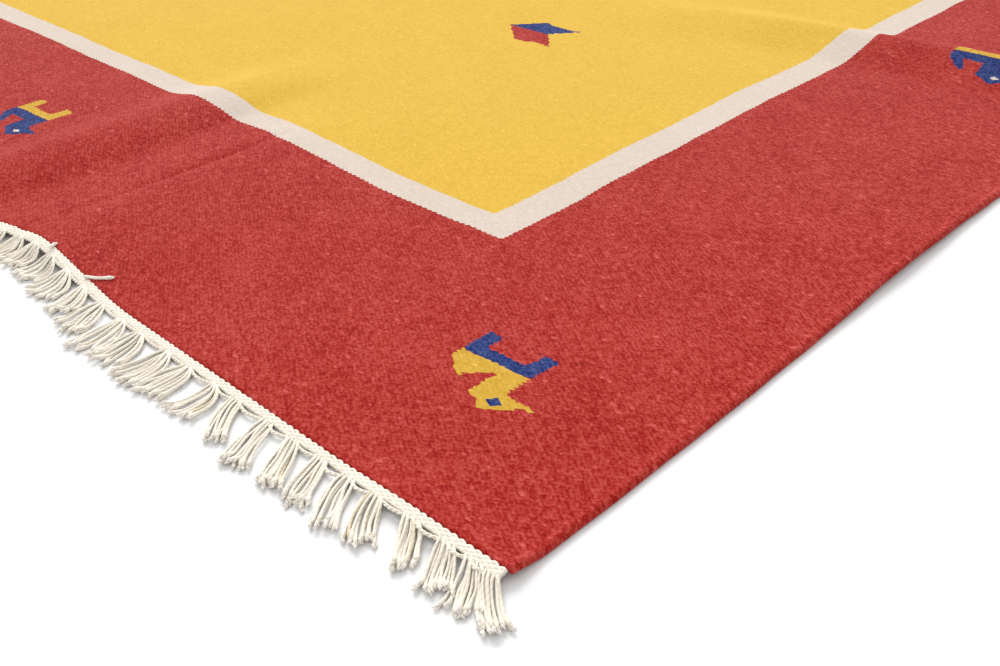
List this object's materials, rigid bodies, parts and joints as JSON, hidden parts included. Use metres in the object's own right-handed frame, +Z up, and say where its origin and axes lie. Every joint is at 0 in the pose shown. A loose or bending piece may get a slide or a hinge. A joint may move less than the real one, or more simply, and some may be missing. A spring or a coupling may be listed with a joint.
{
  "type": "kilim rug",
  "caption": "Flat-woven wool floor rug with a red border, a yellow field, small woven motifs and a cotton fringe at both short ends, lying flat with low fold ridges.",
  "frame": {"origin": "middle of the rug's underside, on the floor", "axes": "+X across the width (along the weft), +Y along the length (along the warp) towards the back fringe, +Z up out of the face"},
  "size_m": [1.7351, 2.4695, 0.0152],
  "materials": {
    "wool": "matt weft-faced wool",
    "cotton": "plied cotton yarn"
  },
  "bodies": {
    "root": {"rug_cloth": "wool", "fringe_front": "cotton", "fringe_back": "cotton"}
  },
  "joints": []
}
